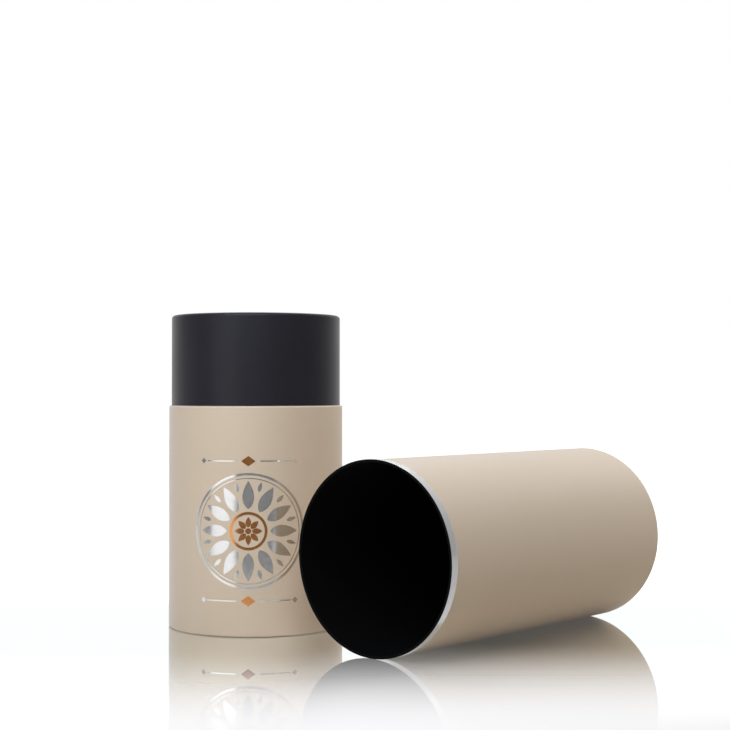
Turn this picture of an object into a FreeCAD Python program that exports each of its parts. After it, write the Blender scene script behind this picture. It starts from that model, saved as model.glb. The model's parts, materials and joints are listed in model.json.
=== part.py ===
"""Two-part paper tube box: a standing base with a neck, and its lid lying beside it.

Millimetres. The origin is the centre of the face that the base stands on, +Z is up the base's
axis, and +X runs along the lying lid from its mouth to its closed end.
"""
import FreeCAD, Part
import math
import os

import Sketcher

# Driving dimensions, one sheet cell each
SIZES = {
    # overall, over the beige paper
    "outer_dia": 80.0,
    "base_height": 101.2,
    "neck_exposed": 41.3,
    "lid_length": 159.8,
    # board and paper stock
    "base_board": 0.9,
    "neck_board": 2.0,
    "end_board": 2.0,
    "inside_card": 0.6,
    "wrap_paper": 0.2,
    "black_paper": 0.15,
    "glue_line": 0.03,
    # folds of the papers
    "edge_round": 0.6,
    "lip_round": 0.4,
    "turn_under": 8.0,
    "neck_turn_in": 12.0,
    "neck_lap": 15.0,
    "end_paper_margin": 2.5,
    # fits
    "lid_clearance": 0.15,
    "lining_gap": 0.1,
    # metal ring behind the lip of the lid
    "ring_sheet": 0.15,
    "ring_end": 4.0,
    # where the lid lies, seen from the base
    "lid_mouth_x": -35.8,
    "lid_mouth_y": -100.5,
    "lid_turn": 90.0,
}

SHEET = "Sizes"
FULL_TURN = 360.0

doc = FreeCAD.newDocument("GiftTubeBox")
sheet = doc.addObject("Spreadsheet::Sheet", SHEET)
for row, (alias, number) in enumerate(SIZES.items(), start=1):
    sheet.set(f"A{row}", alias)
    sheet.set(f"B{row}", str(number))
    sheet.setAlias(f"B{row}", alias)
doc.recompute()


class Size:
    """A length that keeps its sheet expression together with its present value."""

    def __init__(self, text, value):
        self.text = text
        self.value = value

    def __add__(self, other):
        return Size(f"{self.text} + {other.text}", self.value + other.value)

    def __sub__(self, other):
        return Size(f"{self.text} - ({other.text})", self.value - other.value)

    def __truediv__(self, count):
        return Size(f"({self.text}) / {count}", self.value / count)


def cell(alias):
    return Size(f"{SHEET}.{alias}", float(sheet.get(alias)))


ZERO = Size("0", 0.0)

# Stock and folds
wrap_paper = cell("wrap_paper")
black_paper = cell("black_paper")
glue = cell("glue_line")
edge_round = cell("edge_round")
end_board = cell("end_board")
inside_card = cell("inside_card")

# Radii shared by both halves, from the outside in
outer_r = cell("outer_dia") / 2
wrap_inner_r = outer_r - wrap_paper
wrap_bend_r = edge_round - wrap_paper
tube_outer_r = wrap_inner_r - glue
tube_round = wrap_bend_r - glue
fold_r = outer_r - edge_round
flap_r = outer_r - cell("turn_under")
end_paper_r = outer_r - cell("end_paper_margin")

# Radii of the base and its neck
base_tube_inner_r = tube_outer_r - cell("base_board")
base_disc_r = base_tube_inner_r - glue
neck_r = base_tube_inner_r - glue
neck_wrap_inner_r = neck_r - black_paper
neck_board_outer_r = neck_wrap_inner_r - glue
neck_board_inner_r = neck_board_outer_r - cell("neck_board")
lining_outer_r = neck_board_inner_r - glue
well_r = lining_outer_r - black_paper
neck_mid_r = (neck_r + well_r) / 2
neck_round = (neck_r - well_r) / 2
neck_wrap_bend = neck_round - black_paper
neck_board_round = cell("neck_board") / 2

# Heights of the base, from the face it stands on
base_top = cell("base_height")
wrap_foot = wrap_paper + glue
tube_foot = wrap_foot + wrap_paper + glue
card_foot = tube_foot + end_board + glue
neck_foot = card_foot + inside_card + glue
tube_top = base_top - wrap_paper - glue
neck_top = base_top + cell("neck_exposed")
neck_shoulder = neck_top - neck_round
neck_wrap_foot = base_top - cell("neck_lap")
turn_in_foot = neck_shoulder - cell("neck_turn_in")
lining_top = turn_in_foot - cell("lining_gap")

# Radii of the lid, which slips over the neck and ends flush with the base
lid_bore_r = neck_r + cell("lid_clearance")
lid_lining_outer_r = lid_bore_r + black_paper
lid_tube_inner_r = lid_lining_outer_r + glue

# Lip of the lid's mouth: the lining turns outwards over the rounded front of the tube and over the ring
lip_round = cell("lip_round")
lip_fold_r = lid_bore_r + lip_round
lip_bend = lip_round - black_paper
lip_tube_round = lip_bend - glue

# Metal ring round the lid's mouth
ring_inner_r = outer_r + glue
ring_outer_r = ring_inner_r + cell("ring_sheet")

# Places along the lid, from the front of its lip to the closed end
lid_end = cell("lid_length")
lid_wall_start = black_paper + glue
end_paper_start = lid_end - wrap_paper
lid_wrap_end = end_paper_start - glue
lid_flap_inside = lid_wrap_end - wrap_paper
lid_board_end = lid_flap_inside - glue
lid_board_start = lid_board_end - end_board
lid_card_start = lid_board_start - glue - inside_card
lid_wall_end = lid_card_start - glue


def origin_plane(body, role):
    return next(f for f in body.Origin.OriginFeatures if f.Role == role)


def new_body(label):
    body = doc.addObject("PartDesign::Body", label)
    body.Label = label
    return body


def new_sketch(body, role):
    sketch = body.newObject("Sketcher::SketchObject", f"{body.Name}_sketch")
    sketch.AttachmentSupport = [(origin_plane(body, role), "")]
    sketch.MapMode = "FlatFace"
    return sketch


def bind(sketch, constraint, size):
    index = sketch.addConstraint(constraint)
    sketch.setExpression(f"Constraints[{index}]", size.text)


def stand(body, start=ZERO):
    """Place a piece of the base, raised to where it starts."""
    body.Placement = FreeCAD.Placement(FreeCAD.Vector(0, 0, start.value), FreeCAD.Rotation())
    body.setExpression(".Placement.Base.z", start.text)


def lay(body, start=ZERO):
    """Place a piece of the lid, lying on its lip and ring, pushed along the lid to where it starts."""
    mouth_x = cell("lid_mouth_x") + start
    mouth_y = cell("lid_mouth_y")
    turn = cell("lid_turn")
    place = FreeCAD.Vector(mouth_x.value, mouth_y.value, ring_outer_r.value)
    body.Placement = FreeCAD.Placement(place, FreeCAD.Rotation(FreeCAD.Vector(0, 1, 0), turn.value))
    body.setExpression(".Placement.Base.x", mouth_x.text)
    body.setExpression(".Placement.Base.y", mouth_y.text)
    body.setExpression(".Placement.Base.z", ring_outer_r.text)
    body.setExpression(".Placement.Rotation.Angle", turn.text)


def add_circle(sketch, radius):
    circle = Part.Circle(FreeCAD.Vector(), FreeCAD.Vector(0, 0, 1), radius.value)
    index = sketch.addGeometry(circle)
    sketch.addConstraint(Sketcher.Constraint("Coincident", index, 3, -1, 1))
    bind(sketch, Sketcher.Constraint("Radius", index, radius.value), radius)


def cut_from_sheet(label, radii, thickness):
    """A disc, or a plain tube if a second radius is given, raised to its thickness or length."""
    body = new_body(label)
    sketch = new_sketch(body, "XY_Plane")
    for radius in radii:
        add_circle(sketch, radius)
    pad = body.newObject("PartDesign::Pad", f"{label}_pad")
    pad.Profile = sketch
    pad.setExpression("Length", thickness.text)
    return body


def arc_between(start, end, radius, turn):
    """Arc from start to end that bends left (turn 1) or right (turn -1); also tells if it was drawn backwards."""
    chord = end - start
    middle = (start + end) / 2
    rise = math.sqrt(max(radius ** 2 - (chord.Length / 2) ** 2, 0))
    left = FreeCAD.Vector(-chord.y, chord.x, 0).normalize()
    centre = middle + left * rise * turn
    angles = [math.atan2(p.y - centre.y, p.x - centre.x) for p in (start, end)]
    circle = Part.Circle(centre, FreeCAD.Vector(0, 0, 1), radius)
    if turn > 0:
        return Part.ArcOfCircle(circle, angles[0], angles[1]), False
    return Part.ArcOfCircle(circle, angles[1], angles[0]), True


def turned(label, outline):
    """A round piece turned about the axis from an outline of (radius, height) corners.

    A corner may add a bend: the radius of the arc that leads to the next corner, and 1 or -1
    for an arc that bends left or right.
    """
    body = new_body(label)
    sketch = new_sketch(body, "XZ_Plane")
    points = [FreeCAD.Vector(corner[0].value, corner[1].value, 0) for corner in outline]
    ends = []
    for number, corner in enumerate(outline):
        here = points[number]
        there = points[(number + 1) % len(points)]
        if len(corner) == 2:
            index = sketch.addGeometry(Part.LineSegment(here, there))
            ends.append((index, 1, 2))
            continue
        bend, turn = corner[2:]
        arc, backwards = arc_between(here, there, bend.value, turn)
        index = sketch.addGeometry(arc)
        ends.append((index, 2, 1) if backwards else (index, 1, 2))
    for number, (index, first, last) in enumerate(ends):
        following, following_first, _ = ends[(number + 1) % len(ends)]
        sketch.addConstraint(Sketcher.Constraint("Coincident", index, last, following, following_first))
    for (index, first, _), corner in zip(ends, outline):
        radius, height = corner[:2]
        if radius is ZERO:
            sketch.addConstraint(Sketcher.Constraint("PointOnObject", index, first, -2))
        else:
            bind(sketch, Sketcher.Constraint("DistanceX", -1, 1, index, first, radius.value), radius)
        if height is ZERO:
            sketch.addConstraint(Sketcher.Constraint("PointOnObject", index, first, -1))
        else:
            bind(sketch, Sketcher.Constraint("DistanceY", -1, 1, index, first, height.value), height)
        if len(corner) > 2:
            bind(sketch, Sketcher.Constraint("Radius", index, corner[2].value), corner[2])
    turning = body.newObject("PartDesign::Revolution", f"{label}_turning")
    turning.Profile = sketch
    turning.ReferenceAxis = (sketch, ["V_Axis"])
    turning.Angle = FULL_TURN
    return body


def base_pieces():
    bottom_paper = cut_from_sheet("base_bottom_paper", [end_paper_r], wrap_paper)
    stand(bottom_paper)

    bottom_board = cut_from_sheet("base_bottom_board", [base_disc_r], end_board)
    stand(bottom_board, tube_foot)

    tube = turned("base_tube", [
        (base_tube_inner_r, tube_foot),
        (tube_outer_r - tube_round, tube_foot, tube_round, 1),
        (tube_outer_r, tube_foot + tube_round),
        (tube_outer_r, tube_top - tube_round, tube_round, 1),
        (tube_outer_r - tube_round, tube_top),
        (base_tube_inner_r, tube_top),
    ])
    stand(tube)

    wrap = turned("base_wrap", [
        (flap_r, wrap_foot),
        (fold_r, wrap_foot, edge_round, 1),
        (outer_r, wrap_foot + edge_round),
        (outer_r, base_top - edge_round, edge_round, 1),
        (fold_r, base_top),
        (base_tube_inner_r, base_top),
        (base_tube_inner_r, base_top - wrap_paper),
        (fold_r, base_top - wrap_paper, wrap_bend_r, -1),
        (wrap_inner_r, base_top - edge_round),
        (wrap_inner_r, wrap_foot + edge_round, wrap_bend_r, -1),
        (fold_r, wrap_foot + wrap_paper),
        (flap_r, wrap_foot + wrap_paper),
    ])
    stand(wrap)

    neck_tube = turned("neck_tube", [
        (neck_board_inner_r, neck_foot),
        (neck_board_outer_r, neck_foot),
        (neck_board_outer_r, neck_shoulder, neck_board_round, 1),
        (neck_mid_r, neck_shoulder + neck_board_round, neck_board_round, 1),
        (neck_board_inner_r, neck_shoulder),
    ])
    stand(neck_tube)

    neck_wrap = turned("neck_wrap", [
        (neck_wrap_inner_r, neck_wrap_foot),
        (neck_r, neck_wrap_foot),
        (neck_r, neck_shoulder, neck_round, 1),
        (neck_mid_r, neck_top, neck_round, 1),
        (well_r, neck_shoulder),
        (well_r, turn_in_foot),
        (lining_outer_r, turn_in_foot),
        (lining_outer_r, neck_shoulder, neck_wrap_bend, -1),
        (neck_mid_r, neck_top - black_paper, neck_wrap_bend, -1),
        (neck_wrap_inner_r, neck_shoulder),
    ])
    stand(neck_wrap)

    lining = cut_from_sheet("neck_lining", [lining_outer_r, well_r], lining_top - neck_foot)
    stand(lining, neck_foot)

    floor_disc = cut_from_sheet("base_floor_disc", [base_disc_r], inside_card)
    stand(floor_disc, card_foot)

    return [bottom_paper, bottom_board, tube, wrap, neck_tube, neck_wrap, lining, floor_disc]


def lid_pieces():
    ring = cut_from_sheet("lid_rim_ring", [ring_outer_r, ring_inner_r], cell("ring_end") - lid_wall_start)
    lay(ring, lid_wall_start)

    tube = turned("lid_tube", [
        (lid_tube_inner_r + lip_tube_round, lid_wall_start),
        (tube_outer_r, lid_wall_start),
        (tube_outer_r, lid_wall_end),
        (lid_tube_inner_r, lid_wall_end),
        (lid_tube_inner_r, lid_wall_start + lip_tube_round, lip_tube_round, 1),
    ])
    lay(tube)

    wrap = turned("lid_wrap", [
        (wrap_inner_r, lid_wall_start),
        (outer_r, lid_wall_start),
        (outer_r, lid_wrap_end - edge_round, edge_round, 1),
        (fold_r, lid_wrap_end),
        (flap_r, lid_wrap_end),
        (flap_r, lid_flap_inside),
        (fold_r, lid_flap_inside, wrap_bend_r, -1),
        (wrap_inner_r, lid_wrap_end - edge_round),
    ])
    lay(wrap)

    lining = turned("lid_lining", [
        (lip_fold_r, ZERO),
        (ring_outer_r, ZERO),
        (ring_outer_r, black_paper),
        (lip_fold_r, black_paper, lip_bend, -1),
        (lid_lining_outer_r, lip_round),
        (lid_lining_outer_r, lid_wall_end),
        (lid_bore_r, lid_wall_end),
        (lid_bore_r, lip_round, lip_round, 1),
    ])
    lay(lining)

    inner_disc = cut_from_sheet("lid_inner_disc", [tube_outer_r], inside_card)
    lay(inner_disc, lid_card_start)

    top_board = turned("lid_top_board", [
        (ZERO, lid_board_start),
        (tube_outer_r, lid_board_start),
        (tube_outer_r, lid_board_end - tube_round, tube_round, 1),
        (tube_outer_r - tube_round, lid_board_end),
        (ZERO, lid_board_end),
    ])
    lay(top_board)

    top_paper = cut_from_sheet("lid_top_paper", [end_paper_r], wrap_paper)
    lay(top_paper, end_paper_start)

    return [ring, tube, wrap, lining, top_board, top_paper, inner_disc]


pieces = base_pieces() + lid_pieces()
doc.recompute()

for thing in doc.Objects:
    if "Invalid" in thing.State or "Error" in thing.State:
        raise RuntimeError(f"{thing.Label} failed to recompute: {thing.State}")
for piece in pieces:
    if piece.Shape.isNull() or not piece.Shape.isValid():
        raise RuntimeError(f"{piece.Label} has no valid shape")

os.makedirs("parts", exist_ok=True)
for piece in pieces:
    piece.Shape.exportStep(f"parts/{piece.Label}.step")
    box = piece.Shape.optimalBoundingBox(False, False)
    print(f"{piece.Label}: {len(piece.Shape.Solids)} solid, {piece.Shape.Volume:.1f} mm3, "
          f"x {box.XMin:.2f} to {box.XMax:.2f}, y {box.YMin:.2f} to {box.YMax:.2f}, "
          f"z {box.ZMin:.2f} to {box.ZMax:.2f}")
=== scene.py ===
# %% [markdown]
# # A paper gift tube box, dressed for the studio
# The box has two halves: a base that stands, with a black neck rising out of it, and a lid that
# has been pulled off and lies on its side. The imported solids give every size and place. Here the
# papers, the metal rim and the stamped ornament get their real surfaces, one step at a time.

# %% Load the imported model
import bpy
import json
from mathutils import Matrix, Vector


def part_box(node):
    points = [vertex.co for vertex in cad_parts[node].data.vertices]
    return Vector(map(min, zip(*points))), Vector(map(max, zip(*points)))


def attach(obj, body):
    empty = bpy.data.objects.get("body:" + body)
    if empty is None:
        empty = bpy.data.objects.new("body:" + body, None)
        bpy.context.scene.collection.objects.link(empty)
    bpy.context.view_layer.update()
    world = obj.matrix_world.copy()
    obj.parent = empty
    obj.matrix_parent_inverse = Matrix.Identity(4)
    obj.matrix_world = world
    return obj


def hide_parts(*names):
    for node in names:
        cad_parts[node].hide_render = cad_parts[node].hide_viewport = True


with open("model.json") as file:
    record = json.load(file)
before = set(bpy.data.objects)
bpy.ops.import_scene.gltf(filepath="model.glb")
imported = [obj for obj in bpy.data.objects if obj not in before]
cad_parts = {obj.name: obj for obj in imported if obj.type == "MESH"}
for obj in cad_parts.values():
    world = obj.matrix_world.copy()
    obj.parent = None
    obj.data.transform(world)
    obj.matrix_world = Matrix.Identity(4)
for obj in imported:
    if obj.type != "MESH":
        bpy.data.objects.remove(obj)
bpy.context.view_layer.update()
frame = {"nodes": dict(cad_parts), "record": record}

import json
import math

import bmesh
import bpy
from mathutils import Matrix, Vector

print("nodes:", sorted(frame["nodes"]))

# %% [markdown]
# ## Where the pieces are
# A round piece is known by its axis, its radius and its two ends. All of these can be read from the
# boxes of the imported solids, so nothing has to be fitted by eye. The base stands on the origin, and
# the lid's own axis runs along +X, so lid pieces are made standing and are then laid down.

# %% Read radii and ends from the solids
MM = 0.001
SIDES = 192


def extent(node):
    low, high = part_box(node)
    return low, high, (low + high) / 2


base_low, base_high, _ = extent("base_wrap")
neck_low, neck_high, _ = extent("neck_wrap")
lid_low, lid_high, lid_middle = extent("lid_wrap")
ring_low, ring_high, _ = extent("lid_rim_ring")
lining_low, lining_high, _ = extent("lid_lining")
bores = [mount for mount in frame["record"]["mounts"] if mount["kind"] == "bore"]
bore = {mount["name"]: mount["dims"]["r_mm"] * MM for mount in bores}
base_radius = base_high.x
neck_radius = neck_high.x
lid_radius = (lid_high.z - lid_low.z) / 2
ring_radius = (ring_high.z - ring_low.z) / 2
mouth_front = Vector((lining_low.x, lid_middle.y, lid_middle.z))
lay_down = Matrix.Translation(mouth_front) @ Matrix.Rotation(math.pi / 2, 4, "Y")
radii = (base_radius, neck_radius, lid_radius, ring_radius)
print("radii in mm:", [round(r / MM, 2) for r in radii])
print("bores in mm:", {name: round(r / MM, 2) for name, r in bore.items()})

# %% [markdown]
# ## Turning a sheet
# Wrapped paper and rolled metal are thin sheets bent round an axis. The outer line of the sheet is
# drawn as a few corners, and a full spin turns it into a tube. A plain cylinder would have no folded
# edge, so the corner loops are bevelled. Smooth shading would spread the tilt of such a round all over
# the wall beside it, so a loop is cut close to the round to hold the wall flat. At last the sheet gets
# its real thickness inwards.

# %% Helpers for turned sheets
MERGE_WITHIN = 1e-7
SAME_PLACE = 1e-6
SHARP_ANGLE = math.radians(40)


def turn_outline(corners):
    sheet = bmesh.new()
    points = [sheet.verts.new((radius, 0, height)) for radius, height in corners]
    lines = [sheet.edges.new(pair) for pair in zip(points, points[1:])]
    bmesh.ops.spin(sheet, geom=points + lines, cent=(0, 0, 0), axis=(0, 0, 1),
                   angle=2 * math.pi, steps=SIDES, use_merge=True)
    bmesh.ops.remove_doubles(sheet, verts=sheet.verts, dist=MERGE_WITHIN)
    bmesh.ops.recalc_face_normals(sheet, faces=sheet.faces)
    return sheet


def loop_at(sheet, radius, height):
    def near(vertex):
        off = max(abs(vertex.co.xy.length - radius), abs(vertex.co.z - height))
        return off < SAME_PLACE

    return [edge for edge in sheet.edges if all(near(vertex) for vertex in edge.verts)]


def round_fold(sheet, radius, height, size, segments=6):
    bmesh.ops.bevel(sheet, geom=loop_at(sheet, radius, height), offset=size,
                    offset_type="OFFSET", segments=segments, profile=0.5, affect="EDGES",
                    material=-1)


def hold_flat(sheet, *heights):
    for height in heights:
        everything = sheet.verts[:] + sheet.edges[:] + sheet.faces[:]
        bmesh.ops.bisect_plane(sheet, geom=everything, plane_co=(0, 0, height),
                               plane_no=(0, 0, 1))


def thicken(sheet, thickness):
    bmesh.ops.solidify(sheet, geom=sheet.faces[:], thickness=thickness)
    print("stock in cubic mm:", round(sheet.calc_volume(signed=True) / MM ** 3, 1))


def to_object(name, mesh_draft, body, place=None):
    if place:
        bmesh.ops.transform(mesh_draft, matrix=place, verts=mesh_draft.verts)
    mesh = bpy.data.meshes.new(name)
    for face in mesh_draft.faces:
        face.smooth = True
    mesh_draft.to_mesh(mesh)
    mesh_draft.free()
    mesh.set_sharp_from_angle(angle=SHARP_ANGLE)
    piece = bpy.data.objects.new(name, mesh)
    bpy.context.scene.collection.objects.link(piece)
    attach(piece, body)
    size = [round(d / MM, 2) for d in piece.dimensions]
    print(f"{name}: {len(mesh.polygons)} faces, {size} mm")
    return piece


# %% [markdown]
# ## The lap of the paper
# Wrapping paper meets itself in one lap along the tube. It could be a bump in the finish, but a real
# step catches light along its edge from every side, so a narrow strip of the skin is extruded and
# scaled out by one thickness of paper. On both halves the lap is turned away from the viewer.

# %% Helper for the lap
WRAP_PAPER = 0.2 * MM
LAP_WIDTH = 8 * MM
WRAP_STEP = 0.12 * MM
BLACK_STEP = 0.08 * MM
OUTER_SKIN = 0.97


def raise_lap(sheet, radius, middle_angle, rise):
    half = LAP_WIDTH / radius / 2
    facing = Vector((math.cos(middle_angle), math.sin(middle_angle)))
    strip = []
    for face in sheet.faces:
        spot = face.calc_center_median().xy
        if spot.length > radius * OUTER_SKIN and spot.angle(facing) < half:
            strip.append(face)
    raised = bmesh.ops.extrude_face_region(sheet, geom=strip)["geom"]
    risen = [part for part in raised if isinstance(part, bmesh.types.BMVert)]
    grow = 1 + rise / radius
    bmesh.ops.scale(sheet, vec=(grow, grow, 1), verts=risen)
    bmesh.ops.delete(sheet, geom=strip, context="FACES_ONLY")
    return len(strip)


# %% [markdown]
# ## Pale folds: wear and painted highlight
# Where paper is folded hard, its fibres open and the edge turns a little paler. Here that paleness is
# partly wear and partly a painted highlight where the edges catch the light; the base's foot is left
# unmarked because it lies in shade. The finish needs to know where the marked folds are, so each
# turned paper carries a number per vertex: 1 on a marked fold, 0 elsewhere.

# %% Helper that marks the folds
FOLD_ROUND = 0.6 * MM
BESIDE = 0.3 * MM


def mark_folds(sheet, radius, heights, reach=FOLD_ROUND * 1.05):
    wear_and_highlight = sheet.verts.layers.float.new("fold")
    for vertex in sheet.verts:
        on_rim = vertex.co.xy.length > radius - reach
        on_fold = any(abs(vertex.co.z - height) < reach for height in heights)
        vertex[wear_and_highlight] = float(on_rim and on_fold)
    print("fold vertices:", sum(vertex[wear_and_highlight] > 0 for vertex in sheet.verts))


# %% [markdown]
# ## The base's beige paper
# One sheet goes round the board, is folded in over the lip until it meets the neck, and is folded
# under the foot. The outline starts inside the foot and ends at the neck.

# %% Base paper
TURN_UNDER = 8 * MM
GLUE_LINE = 0.03 * MM
lip_edge = neck_radius + GLUE_LINE
AWAY_FROM_VIEWER = math.radians(40)

base_sheet = turn_outline([
    (base_radius - TURN_UNDER, base_low.z),
    (base_radius, base_low.z),
    (base_radius, base_high.z),
    (lip_edge, base_high.z),
])
round_fold(base_sheet, base_radius, base_low.z, FOLD_ROUND)
round_fold(base_sheet, base_radius, base_high.z, FOLD_ROUND)
hold_flat(base_sheet, base_low.z + FOLD_ROUND + BESIDE, base_high.z - FOLD_ROUND - BESIDE)
print("lap faces:", raise_lap(base_sheet, base_radius, AWAY_FROM_VIEWER, WRAP_STEP))
thicken(base_sheet, WRAP_PAPER)
# Only the lip is marked: its paleness is partly wear, partly painted highlight; the foot is in shade.
mark_folds(base_sheet, base_radius, (base_high.z,))
base_paper = to_object("base_paper", base_sheet, "base")
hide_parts("base_wrap")

# %% [markdown]
# ## The black neck paper
# The neck is a thicker tube. Its paper runs up the outside, rolls over the rounded top edge and is
# turned in. Two square corners with bevels that together take up the whole wall give that full round,
# and the outer bevel is the larger, because the board is rubbed down more on the side that is seen.

# %% Neck paper
BLACK_PAPER = 0.15 * MM
NECK_TURN_IN = 13.18 * MM
OUTER_SHARE = 0.63
INNER_SHARE = 0.35
NECK_LAP = AWAY_FROM_VIEWER + 0.5
well_radius = bore["bottle_well"]
neck_wall = neck_radius - well_radius

neck_sheet = turn_outline([
    (neck_radius, neck_low.z),
    (neck_radius, neck_high.z),
    (well_radius, neck_high.z),
    (well_radius, neck_high.z - NECK_TURN_IN),
])
round_fold(neck_sheet, neck_radius, neck_high.z, neck_wall * OUTER_SHARE, segments=10)
round_fold(neck_sheet, well_radius, neck_high.z, neck_wall * INNER_SHARE)
hold_flat(neck_sheet, neck_high.z - neck_wall * OUTER_SHARE - BESIDE)
raise_lap(neck_sheet, neck_radius, NECK_LAP, BLACK_STEP)
thicken(neck_sheet, BLACK_PAPER)
# The pale rolled top of the black neck is partly wear, partly a painted highlight.
mark_folds(neck_sheet, neck_radius, (neck_high.z,), neck_wall / 2)
neck_paper = to_object("neck_paper", neck_sheet, "base")
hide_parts("neck_wrap")

# %% [markdown]
# ## The lid's beige paper
# The lid is wrapped like the base, but only its closed end is folded, because the metal ring hides
# the paper's other edge. The sheet is turned upright, mouth down, and laid down at the end.

# %% Lid paper
LID_LAP = math.radians(60)
mouth = lid_low.x - mouth_front.x
closed_end = lid_high.x - mouth_front.x

lid_sheet = turn_outline([
    (lid_radius, mouth),
    (lid_radius, closed_end),
    (lid_radius - TURN_UNDER, closed_end),
])
round_fold(lid_sheet, lid_radius, closed_end, FOLD_ROUND)
hold_flat(lid_sheet, closed_end - FOLD_ROUND - BESIDE)
raise_lap(lid_sheet, lid_radius, LID_LAP, WRAP_STEP)
thicken(lid_sheet, WRAP_PAPER)
mark_folds(lid_sheet, lid_radius, (closed_end,))
lid_paper = to_object("lid_paper", lid_sheet, "lid", lay_down)
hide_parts("lid_wrap")

# %% [markdown]
# ## The lid's black lining and lip
# Black paper lines the lid and is turned out over the front of its wall and of the metal ring, so the
# whole lip is black. The outline is the side that is seen, so this sheet gets its thickness the
# other way, towards the board. One bevelled corner makes the soft edge of the lip.

# %% Lid lining
LIP_ROUND = 0.4 * MM
lining_end = lining_high.x - mouth_front.x

lining_sheet = turn_outline([
    (ring_radius, 0),
    (bore["lid_mouth"], 0),
    (bore["lid_mouth"], lining_end),
])
round_fold(lining_sheet, bore["lid_mouth"], 0, LIP_ROUND)
hold_flat(lining_sheet, LIP_ROUND + BESIDE)
thicken(lining_sheet, -BLACK_PAPER)
lid_lip = to_object("lid_lining_paper", lining_sheet, "lid", lay_down)
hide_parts("lid_lining")

# %% [markdown]
# ## The metal ring
# A strip of thin bright sheet runs round the outside of the lid's mouth, behind the lip. It is a short
# turned tube. Its edges are rolled smooth, so both outer edges are bevelled and catch a line of light.

# %% Rim ring
RING_SHEET = 0.15 * MM
RING_EDGE = 0.06 * MM
RING_BESIDE = 3 * RING_EDGE
band_start = ring_low.x - mouth_front.x
band_end = ring_high.x - mouth_front.x

ring_strip = turn_outline([(ring_radius, band_start), (ring_radius, band_end)])
thicken(ring_strip, RING_SHEET)
for edge_height in (band_start, band_end):
    round_fold(ring_strip, ring_radius, edge_height, RING_EDGE, segments=2)
hold_flat(ring_strip, band_start + RING_BESIDE, band_end - RING_BESIDE)
rim_ring = to_object("rim_ring", ring_strip, "lid", lay_down)
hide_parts("lid_rim_ring")

# %% [markdown]
# ## The stamped ornament
# The front of the base carries hot-stamped foil: a film so thin that it follows the paper. Each motif
# is drawn flat, in millimetres, with the middle of the ornament at zero, and is then bent round the
# base. A picture would do for one view, but real foil shines by itself from all sides. The
# design is a plain rosette in a ring, with a diamond and two rules above and below.

# %% Helpers that draw flat motifs
RING_STEPS = 120
PETAL_LEAN = 0.8
PETAL_FULLNESS = 0.9


def draw_ring(film, inner, outer, bands=1):
    radii = [inner + (outer - inner) * step / bands for step in range(bands + 1)]
    points = [film.verts.new((radius, 0, 0)) for radius in radii]
    lines = [film.edges.new(pair) for pair in zip(points, points[1:])]
    bmesh.ops.spin(film, geom=points + lines, cent=(0, 0, 0), axis=(0, 0, 1),
                   angle=2 * math.pi, steps=RING_STEPS, use_merge=True)


def draw_tile(film, columns, rows):
    tile = bmesh.ops.create_grid(film, x_segments=columns, y_segments=rows, size=0.5)["verts"]
    wide = max(vertex.co.x for vertex in tile) * 2
    bmesh.ops.scale(film, vec=(1 / wide, 1 / wide, 1), verts=tile)
    return tile


def draw_petals(film, start, length, width, count, turn=0.0):
    petal = draw_tile(film, 14, 4)
    for vertex in petal:
        along = vertex.co.x + 0.5
        swell = math.sin(math.pi * along ** PETAL_LEAN) ** PETAL_FULLNESS
        vertex.co.y *= width * swell
        vertex.co.x = start + length * along
    turned = Matrix.Rotation(turn, 3, "Z")
    bmesh.ops.rotate(film, cent=(0, 0, 0), matrix=turned, verts=petal)
    parts = set(petal)
    for vertex in petal:
        parts.update(vertex.link_edges)
        parts.update(vertex.link_faces)
    bmesh.ops.spin(film, geom=list(parts), cent=(0, 0, 0), axis=(0, 0, 1),
                   angle=2 * math.pi * (count - 1) / count, steps=count - 1,
                   use_duplicate=True)


def draw_diamond(film, x, y, wide, tall):
    tile = draw_tile(film, 6, 6)
    quarter = Matrix.Rotation(math.pi / 4, 3, "Z")
    bmesh.ops.rotate(film, cent=(0, 0, 0), matrix=quarter, verts=tile)
    bmesh.ops.scale(film, vec=(wide / math.sqrt(2), tall / math.sqrt(2), 1), verts=tile)
    bmesh.ops.translate(film, vec=(x, y, 0), verts=tile)


def draw_rule(film, start, end, y, thick):
    tile = draw_tile(film, 16, 1)
    bmesh.ops.scale(film, vec=(end - start, thick, 1), verts=tile)
    bmesh.ops.translate(film, vec=((start + end) / 2, y, 0), verts=tile)


# %% [markdown]
# Bending the flat film is one move per point: the distance to the right becomes an angle round the
# base, and the distance up stays. The ornament's middle faces a little to the viewer's left.

# %% Helper that presses the film on the base
ORNAMENT_ANGLE = math.radians(219.6)
ORNAMENT_HEIGHT = 46.5 * MM
FILM = 0.03 * MM
POINTS_MEET_MM = 1e-4
TINY_EDGE_MM = 1e-5


def press_on_base(film):
    bmesh.ops.remove_doubles(film, verts=film.verts, dist=POINTS_MEET_MM)
    bmesh.ops.dissolve_degenerate(film, edges=film.edges, dist=TINY_EDGE_MM)
    bmesh.ops.recalc_face_normals(film, faces=film.faces)
    if film.faces[:][0].normal.z < 0:
        bmesh.ops.reverse_faces(film, faces=film.faces)
    bmesh.ops.scale(film, vec=(MM, MM, MM), verts=film.verts)
    skin = film.faces[:]
    raised = bmesh.ops.extrude_face_region(film, geom=skin, use_keep_orig=True)["geom"]
    top = [part for part in raised if isinstance(part, bmesh.types.BMVert)]
    bmesh.ops.translate(film, vec=(0, 0, FILM), verts=top)
    bmesh.ops.recalc_face_normals(film, faces=film.faces)
    for vertex in film.verts:
        angle = ORNAMENT_ANGLE + vertex.co.x / base_radius
        reach = base_radius + FILM + vertex.co.z
        height = ORNAMENT_HEIGHT + vertex.co.y
        vertex.co = (reach * math.cos(angle), reach * math.sin(angle), height)


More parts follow.
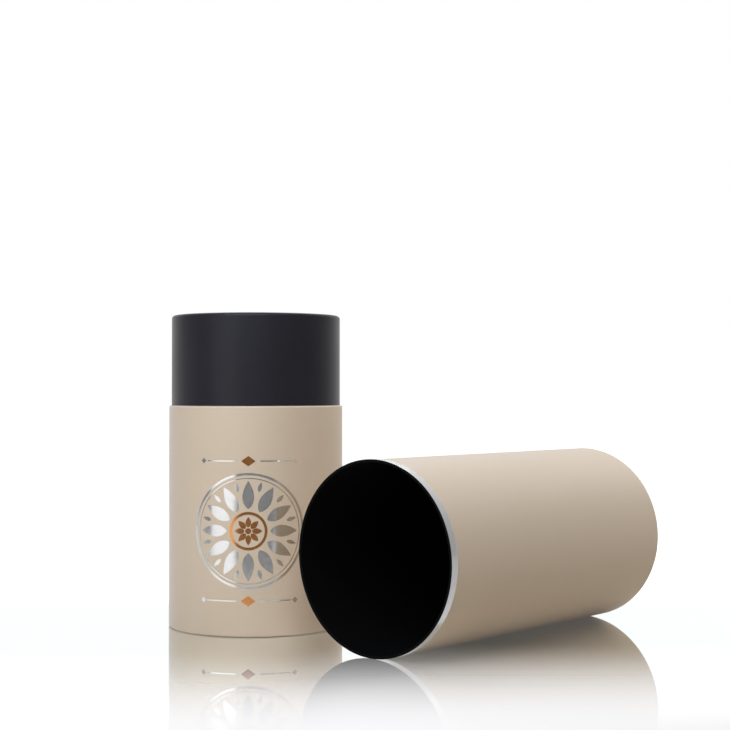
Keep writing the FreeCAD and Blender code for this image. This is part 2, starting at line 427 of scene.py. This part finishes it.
# %% Silver film
RULE_LEVELS = (-30.6, 30.6)
silver_film = bmesh.new()
draw_ring(silver_film, inner=24.4, outer=25.4)
draw_ring(silver_film, inner=22.9, outer=23.3)
draw_petals(silver_film, start=9.6, length=12.4, width=5.2, count=12)
draw_petals(silver_film, start=17.6, length=4.6, width=1.7, count=12, turn=math.pi / 12)
for level in RULE_LEVELS:
    for start, end in ((-19, -5.2), (5.2, 19)):
        draw_rule(silver_film, start, end, level, thick=0.55)
    for x in (-21, 21):
        draw_diamond(silver_film, x, level, wide=2.6, tall=2.6)
press_on_base(silver_film)
to_object("foil_silver", silver_film, "base")

# %% Copper film
copper_film = bmesh.new()
draw_ring(copper_film, inner=7.2, outer=8.4)
draw_petals(copper_film, start=1.6, length=4.6, width=2.5, count=8)
draw_ring(copper_film, inner=0.05, outer=1.3, bands=3)
for level in RULE_LEVELS:
    draw_diamond(copper_film, 0, level, wide=6.4, tall=4.6)
press_on_base(copper_film)
to_object("foil_copper", copper_film, "base")

# %% [markdown]
# ## Finishes from nodes
# Every finish starts from one shader and reads Object coordinates, which are metres on the piece
# itself, so a grain has the same size on all of them. A few helpers keep the node code short.

# %% Helpers for nodes
def start_finish(name):
    material = bpy.data.materials.new(name)
    material.use_nodes = True
    tree = material.node_tree
    return material, tree, tree.nodes["Principled BSDF"]


def add_node(tree, kind, sockets=(), **settings):
    made = tree.nodes.new(kind)
    for key, value in settings.items():
        setattr(made, key, value)
    for key, value in dict(sockets).items():
        made.inputs[key].default_value = value
    return made


def grain(tree, scale, detail=3.0, stretch=(1, 1, 1)):
    where = add_node(tree, "ShaderNodeTexCoord")
    shape = add_node(tree, "ShaderNodeMapping", {"Scale": stretch})
    noise = add_node(tree, "ShaderNodeTexNoise",
                     {"Scale": scale, "Detail": detail, "Roughness": 0.6})
    tree.links.new(where.outputs["Object"], shape.inputs["Vector"])
    tree.links.new(shape.outputs["Vector"], noise.inputs["Vector"])
    return noise.outputs["Fac"]


def between(tree, amount, low, high):
    spread = add_node(tree, "ShaderNodeMapRange", {"From Min": 0.3, "From Max": 0.7,
                                                   "To Min": low, "To Max": high})
    tree.links.new(amount, spread.inputs["Value"])
    return spread.outputs["Result"]


def blend_colours(tree, amount, first, second):
    mix = add_node(tree, "ShaderNodeMix", data_type="RGBA")
    tree.links.new(amount, mix.inputs["Factor"])
    for index, colour in ((6, first), (7, second)):
        if isinstance(colour, tuple):
            mix.inputs[index].default_value = (*colour, 1)
        else:
            tree.links.new(colour, mix.inputs[index])
    return mix.outputs[2]


def add_bump(tree, shader, height, strength, depth):
    bump = add_node(tree, "ShaderNodeBump", {"Strength": strength, "Distance": depth})
    tree.links.new(height, bump.inputs["Height"])
    tree.links.new(bump.outputs["Normal"], shader.inputs["Normal"])


# %% [markdown]
# ## Paper
# Wrapping paper is matt, with fibres a few tenths of a millimetre long and broad clouds where the
# pulp is a little denser. Two noises give those, the same fibres lift the surface, and the pale folds,
# partly wear and partly painted highlight, are mixed in from the number stored on the vertices. Loose
# fibre ends make beige paper a little paler where it is seen at a flat angle, so it gets some sheen.
# The black papers have none.

# %% Paper finish
FIBRE_SCALE = 1900
FIBRE_STRETCH = (1, 1, 0.45)
FIBRE_SHARE = 0.45
FIBRE_HEIGHT = 0.04 * MM
CLOUD_SCALE = 55
RUB_SCALE = 420
GLOSS_SPREAD = 0.012


def paper_finish(name, dense, thin, wear_and_highlight, roughness, relief, shine, fuzz):
    material, tree, shader = start_finish(name)
    fibres = grain(tree, FIBRE_SCALE, 4, FIBRE_STRETCH)
    clouds = grain(tree, CLOUD_SCALE)
    tone = add_node(tree, "ShaderNodeMath", operation="MULTIPLY_ADD")
    tone.inputs[1].default_value = FIBRE_SHARE
    tree.links.new(fibres, tone.inputs[0])
    half_clouds = add_node(tree, "ShaderNodeMath", operation="MULTIPLY")
    half_clouds.inputs[1].default_value = 1 - FIBRE_SHARE
    tree.links.new(clouds, half_clouds.inputs[0])
    tree.links.new(half_clouds.outputs[0], tone.inputs[2])
    sheet_colour = blend_colours(tree, between(tree, tone.outputs[0], 0, 1), dense, thin)
    # Pale folds: partly rubbed wear, partly a painted highlight on edges that catch the light.
    fold = add_node(tree, "ShaderNodeAttribute", attribute_name="fold")
    rub_and_highlight = add_node(tree, "ShaderNodeMath", operation="MULTIPLY")
    tree.links.new(fold.outputs["Fac"], rub_and_highlight.inputs[0])
    tree.links.new(between(tree, grain(tree, RUB_SCALE, 2), 0.25, 0.9), rub_and_highlight.inputs[1])
    colour = blend_colours(tree, rub_and_highlight.outputs[0], sheet_colour, wear_and_highlight)
    tree.links.new(colour, shader.inputs["Base Color"])
    gloss = between(tree, clouds, roughness - GLOSS_SPREAD, roughness + GLOSS_SPREAD)
    tree.links.new(gloss, shader.inputs["Roughness"])
    shader.inputs["Specular IOR Level"].default_value = shine
    shader.inputs["Sheen Weight"].default_value = fuzz
    shader.inputs["Sheen Roughness"].default_value = 0.45
    add_bump(tree, shader, fibres, relief, FIBRE_HEIGHT)
    print("finish:", name)
    return material


beige = paper_finish("beige_paper", (0.548, 0.437, 0.314), (0.556, 0.445, 0.322),
                     (0.63, 0.55, 0.46), roughness=0.50, relief=0.05, shine=0.32, fuzz=0.32)
black = paper_finish("black_paper", (0.0138, 0.0134, 0.0172), (0.0168, 0.0163, 0.0206),
                     (0.026, 0.025, 0.028), roughness=0.34, relief=0.20, shine=0.17, fuzz=0.0)
# The lid's lining and lip are the same black paper as the neck, made far darker and duller here:
# painted shade for the inside of the lid.
lining = paper_finish("black_lining_painted_shade", (0.0020, 0.0020, 0.0021), (0.0028, 0.0028, 0.0029),
                      (0.010, 0.010, 0.010), roughness=0.80, relief=0.30, shine=0.05, fuzz=0.0)

# %% [markdown]
# ## Greyboard
# The boards are pressed from waste paper, so they are grey-brown with darker and paler flecks. Almost
# none of it shows on the finished box, but each board still gets its own finish.

# %% Greyboard finish
FLECK_SCALE = 900.0
PULP_SCALE = 240
BOARD_GRAIN = 700
BOARD_HEIGHT = 0.06 * MM


def board_finish():
    material, tree, shader = start_finish("grey_board")
    flecks = add_node(tree, "ShaderNodeTexVoronoi", {"Scale": FLECK_SCALE})
    where = add_node(tree, "ShaderNodeTexCoord")
    tree.links.new(where.outputs["Object"], flecks.inputs["Vector"])
    pulp_amount = between(tree, grain(tree, PULP_SCALE, 5), 0, 1)
    pulp = blend_colours(tree, pulp_amount, (0.30, 0.27, 0.235), (0.42, 0.39, 0.345))
    fleck_amount = between(tree, flecks.outputs["Distance"], 0.35, 0.0)
    colour = blend_colours(tree, fleck_amount, pulp, (0.16, 0.145, 0.13))
    tree.links.new(colour, shader.inputs["Base Color"])
    shader.inputs["Roughness"].default_value = 0.85
    add_bump(tree, shader, grain(tree, BOARD_GRAIN, 4), 0.5, BOARD_HEIGHT)
    return material


board = board_finish()

# %% [markdown]
# ## Bright metal and foil
# The rim is rolled sheet: its fine drawing lines run round the ring, so the noise is squeezed along
# the lid's axis. Foil is smoother but takes the grain of the paper that it is pressed on.

# %% Metal finishes
SMEAR_SCALE = 300
LINE_HEIGHT = 0.02 * MM


def metal_finish(name, dark, bright, roughness, scale, stretch, relief):
    material, tree, shader = start_finish(name)
    lines = grain(tree, scale, 4, stretch)
    colour = blend_colours(tree, between(tree, lines, 0, 1), dark, bright)
    tree.links.new(colour, shader.inputs["Base Color"])
    gloss = between(tree, grain(tree, SMEAR_SCALE), roughness - 0.05, roughness + 0.07)
    tree.links.new(gloss, shader.inputs["Roughness"])
    shader.inputs["Metallic"].default_value = 1.0
    add_bump(tree, shader, lines, relief, LINE_HEIGHT)
    print("finish:", name)
    return material


rolled_metal = metal_finish("rolled_metal", (0.66, 0.66, 0.66), (0.74, 0.74, 0.73),
                            roughness=0.18, scale=160, stretch=(40, 1, 1), relief=0.15)
silver = metal_finish("silver_foil", (0.68, 0.68, 0.68), (0.76, 0.76, 0.75),
                      roughness=0.17, scale=FIBRE_SCALE, stretch=FIBRE_STRETCH, relief=0.08)
copper = metal_finish("copper_foil", (0.66, 0.27, 0.09), (0.78, 0.35, 0.13),
                      roughness=0.17, scale=FIBRE_SCALE, stretch=FIBRE_STRETCH, relief=0.08)

# %% Give each piece its finish
FINISH_OF = {
    "base_paper": beige, "lid_paper": beige,
    "base_bottom_paper": beige, "lid_top_paper": beige,
    "neck_paper": black, "neck_lining": black, "base_floor_disc": black,
    "lid_lining_paper": lining, "lid_inner_disc": lining,
    "base_tube": board, "base_bottom_board": board, "neck_tube": board,
    "lid_tube": board, "lid_top_board": board,
    "rim_ring": rolled_metal, "foil_silver": silver, "foil_copper": copper,
}
for name, finish in FINISH_OF.items():
    dressed = bpy.data.objects[name]
    dressed.data.materials.clear()
    dressed.data.materials.append(finish)
print("finishes given:", len(FINISH_OF))

# %% [markdown]
# ## The studio floor
# The box stands on a polished white sheet. Seen at a flat angle and close to the box it is almost a
# mirror. The mirror fades towards the viewer, a little later in front of the base, and behind the box,
# where the sheet's own white takes over. From above the sheet is plain and pale, as polished plastic
# is. A layer weight tells the flat angle from the steep one, and ramps along the line of sight do the
# fading.

# %% Floor
FLOOR_HALF = 8.0
VIEW_ANGLE = math.radians(40.3465)
floor_draft = bmesh.new()
bmesh.ops.create_grid(floor_draft, x_segments=2, y_segments=2, size=FLOOR_HALF)
floor_mesh = bpy.data.meshes.new("floor")
floor_draft.to_mesh(floor_mesh)
floor_draft.free()
floor = bpy.data.objects.new("floor", floor_mesh)
bpy.context.scene.collection.objects.link(floor)

# %% [markdown]
# The box sees the sheet in its own way. Paper gets light back from it, more near the base than beside
# the lid: there the sheet's colour for that light is painted darker and warmer, a painted shade with a
# painted beige tint from the lid. Shiny surfaces, the gloss of paper as well as metal and foil, see the
# sheet glow from just in front of the base backwards, a painted reflection, and see it as a dim mirror
# further towards the viewer. So rays that come from a matt surface and rays that come from a shiny one
# each get their own shader.

# %% Shaders and helpers for the floor
polished, tree, white = start_finish("polished_white")
white.inputs["Base Color"].default_value = (0.50, 0.485, 0.465, 1)
white.inputs["Roughness"].default_value = 0.7
white.inputs["Specular IOR Level"].default_value = 0.0
white.inputs["Emission Color"].default_value = (1, 0.985, 0.965, 1)
mirror = add_node(tree, "ShaderNodeBsdfGlossy",
                  {"Color": (0.96, 1.0, 0.985, 1), "Roughness": 0.02})
dull = add_node(tree, "ShaderNodeBsdfDiffuse")
dim_mirror = add_node(tree, "ShaderNodeBsdfGlossy",
                      {"Color": (0.9, 0.9, 0.9, 1), "Roughness": 0.15})
painted_reflection_glow = add_node(tree, "ShaderNodeEmission", {"Strength": 1.1})


def along_view(tree, coordinates):
    turned = add_node(tree, "ShaderNodeMapping", {"Rotation": (0, 0, -VIEW_ANGLE)})
    parts = add_node(tree, "ShaderNodeSeparateXYZ")
    where = add_node(tree, "ShaderNodeTexCoord").outputs[coordinates]
    tree.links.new(where, turned.inputs["Vector"])
    tree.links.new(turned.outputs["Vector"], parts.inputs["Vector"])
    return parts.outputs["X"], parts.outputs["Y"]


def ramp(tree, amount, start, end, low, high):
    ends = {"From Min": start, "From Max": end, "To Min": low, "To Max": high}
    ease = add_node(tree, "ShaderNodeMapRange", ends, interpolation_type="SMOOTHSTEP")
    tree.links.new(amount, ease.inputs["Value"])
    return ease.outputs["Result"]


def mix_shaders(tree, amount, first, second):
    mixed = add_node(tree, "ShaderNodeMixShader")
    tree.links.new(amount, mixed.inputs["Fac"])
    tree.links.new(first, mixed.inputs[1])
    tree.links.new(second, mixed.inputs[2])
    return mixed.outputs["Shader"]


def combine(tree, operation, first, second):
    both = add_node(tree, "ShaderNodeMath", operation=operation)
    tree.links.new(first, both.inputs[0])
    tree.links.new(second, both.inputs[1])
    return both.outputs[0]


# %% Where the floor mirrors
MIRROR_SHARE = 0.96
BASE_SHIFT = 0.014
depth, aside = along_view(tree, "Object")
flatness = add_node(tree, "ShaderNodeLayerWeight", {"Blend": 0.5}).outputs["Facing"]
later = combine(tree, "ADD", depth, ramp(tree, aside, -0.05, -0.01, 0.0, BASE_SHIFT))
in_front = ramp(tree, later, -0.240, -0.050, 0.0, MIRROR_SHARE)
behind = ramp(tree, depth, 0.12, 0.05, 0.0, 1.0)
reach = combine(tree, "MULTIPLY", in_front, behind)
for side in (-1, 1):
    beside = ramp(tree, aside, side * 0.34, side * 0.22, 0.0, 1.0)
    reach = combine(tree, "MULTIPLY", reach, beside)
reach = combine(tree, "MULTIPLY", reach, ramp(tree, flatness, 0.68, 0.79, 0.0, 1.0))

# %% How white the floor is
FULL_WHITE = 1.12
near_glow = ramp(tree, depth, -0.30, 0.02, 0.26, 1.05)
front_glow = ramp(tree, depth, -0.55, -0.22, 0.85, 0.0)
glow = combine(tree, "ADD", near_glow, front_glow)
for side in (-1, 1):
    beside = ramp(tree, aside, side * 0.12, side * 0.45, 0.0, FULL_WHITE)
    glow = combine(tree, "MAXIMUM", glow, beside)
glow = combine(tree, "MULTIPLY", glow, ramp(tree, flatness, 0.62, 0.79, 0.45, 1.0))
tree.links.new(glow, white.inputs["Emission Strength"])
look = mix_shaders(tree, reach, white.outputs["BSDF"], mirror.outputs["BSDF"])

# %% Floor as the box sees it
# Beside the lid the floor's colour for bounce light is painted darker and warmer: painted shade and a
# painted beige tint.
PAINTED_WARM_SHADE_BESIDE_LID = (0.66, 0.59, 0.49)
NEAR_BASE = (1.0, 1.0, 1.0)
LID_SIDE, BASE_SIDE = -0.10, 0.0
ray = add_node(tree, "ShaderNodeLightPath")
# A glowing patch seen only in reflections, brightest on the base's side: a painted reflection.
painted_reflection_share = combine(tree, "MULTIPLY", ramp(tree, depth, -0.28, -0.10, 0.0, 1.0),
                     ramp(tree, aside, LID_SIDE, BASE_SIDE, 0.25, 0.85))
in_metal = mix_shaders(tree, painted_reflection_share, dim_mirror.outputs["BSDF"],
                       painted_reflection_glow.outputs["Emission"])
towards_base = ramp(tree, aside, LID_SIDE, BASE_SIDE, 0.0, 1.0)
painted_bounce_colour = blend_colours(tree, towards_base, PAINTED_WARM_SHADE_BESIDE_LID, NEAR_BASE)
tree.links.new(painted_bounce_colour, dull.inputs["Color"])
look = mix_shaders(tree, ray.outputs["Is Glossy Ray"], look, in_metal)
surface = mix_shaders(tree, ray.outputs["Is Diffuse Ray"], look, dull.outputs["BSDF"])
tree.links.new(surface, tree.nodes["Material Output"].inputs["Surface"])
floor_mesh.materials.append(polished)
print("floor nodes:", len(tree.nodes))

# %% [markdown]
# ## The studio round the box
# The studio is white to the camera. Reflections see it white behind the box and dim on the viewer's
# side, because a studio is dark behind the camera, and that gives metal and black paper their
# contrast. For matt surfaces it is a soft glow from the backdrop alone.

# %% World
world = bpy.data.worlds.new("studio")
bpy.context.scene.world = world
world.use_nodes = True
sky = world.node_tree
background = sky.nodes["Background"]
background.inputs["Color"].default_value = (1, 1, 1, 1)
SKY_LIGHT = 0.03
BACKDROP_LIGHT = 0.45
DARK_ROOM = 0.26


def choose(tree, amount, otherwise, chosen):
    pick = add_node(tree, "ShaderNodeMix", data_type="FLOAT")
    tree.links.new(amount, pick.inputs["Factor"])
    for socket, value in ((pick.inputs["A"], otherwise), (pick.inputs["B"], chosen)):
        if isinstance(value, float):
            socket.default_value = value
        else:
            tree.links.new(value, socket)
    return pick.outputs["Result"]


ray = add_node(sky, "ShaderNodeLightPath")
facing, _ = along_view(sky, "Generated")
even = ramp(sky, facing, -0.1, 0.9, SKY_LIGHT, BACKDROP_LIGHT)
mirrored = ramp(sky, facing, -0.1, 0.95, DARK_ROOM, 1.0)
level = choose(sky, ray.outputs["Is Glossy Ray"], even, mirrored)
level = choose(sky, ray.outputs["Is Transmission Ray"], level, 1.0)
level = choose(sky, ray.outputs["Is Camera Ray"], level, 1.0)
sky.links.new(level, background.inputs["Strength"])
print("world nodes:", len(sky.nodes))

# %% [markdown]
# ## Lamps
# Four soft panels light the box. One hangs over the viewer and lights both fronts, a tall soft box on
# the viewer's left puts the bright band into the foil, a smaller one far to the right lights the right
# of both halves, and one hangs high behind and lights the tops. The soft box is neutral, and the
# others are a little cool, as the pale parts of the photograph are. A sun would be simpler, but near
# panels fall off as the light in a small studio does. The right panel is kept out of reflections,
# where it would be a hard spot.

# %% Lamps
AIM_HEIGHT = 0.05
COOL = (0.98, 1.04, 1.16)
SLIGHTLY_COOL = (1.0, 1.02, 1.07)


def add_lamp(name, beside_viewer, elevation, power, distance, **settings):
    lamp = bpy.data.lights.new(name, "AREA")
    lamp.energy = power
    for key, value in settings.items():
        setattr(lamp, key, value)
    holder = bpy.data.objects.new(name, lamp)
    bpy.context.scene.collection.objects.link(holder)
    azimuth = VIEW_ANGLE + math.pi + math.radians(beside_viewer)
    rise = math.radians(elevation)
    flat = distance * math.cos(rise)
    height = AIM_HEIGHT + distance * math.sin(rise)
    holder.location = (flat * math.cos(azimuth), flat * math.sin(azimuth), height)
    holder.rotation_euler = (math.pi / 2 - rise, 0, azimuth + math.pi / 2)
    holder.visible_camera = False
    print(f"{name}: {beside_viewer} degrees beside the viewer, {elevation} degrees up")


add_lamp("front_lamp", beside_viewer=-10, elevation=43, power=1.86, distance=0.50,
         shape="SQUARE", size=0.40, color=COOL)
add_lamp("soft_box", beside_viewer=-38, elevation=15, power=0.5, distance=0.60,
         shape="RECTANGLE", size=0.36, size_y=0.42)
add_lamp("right_lamp", beside_viewer=108, elevation=37, power=1.70, distance=0.60,
         shape="SQUARE", size=0.25, color=SLIGHTLY_COOL)
add_lamp("back_lamp", beside_viewer=178, elevation=60, power=1.32, distance=0.60,
         shape="SQUARE", size=0.40, color=COOL)
bpy.data.objects["right_lamp"].visible_glossy = False

# %% [markdown]
# ## Camera
# The camera stands low in front of the box, a little above the lid, and looks almost level. Its place
# and lens follow from the outlines in the photograph, for a square picture.

# %% Camera
TILT_UP = 0.01584
LENS_MM = 75.492
CAMERA_PLACE = (-0.508944, -0.498644, 0.108582)
camera_data = bpy.data.cameras.new("camera")
camera_data.lens = LENS_MM
camera_data.sensor_width = 36.0
camera_data.clip_end = 100.0
camera = bpy.data.objects.new("camera", camera_data)
camera.location = CAMERA_PLACE
camera.rotation_euler = (math.pi / 2 + TILT_UP, 0, VIEW_ANGLE - math.pi / 2)
bpy.context.scene.collection.objects.link(camera)
bpy.context.scene.camera = camera
bpy.context.scene.view_settings.view_transform = "Standard"
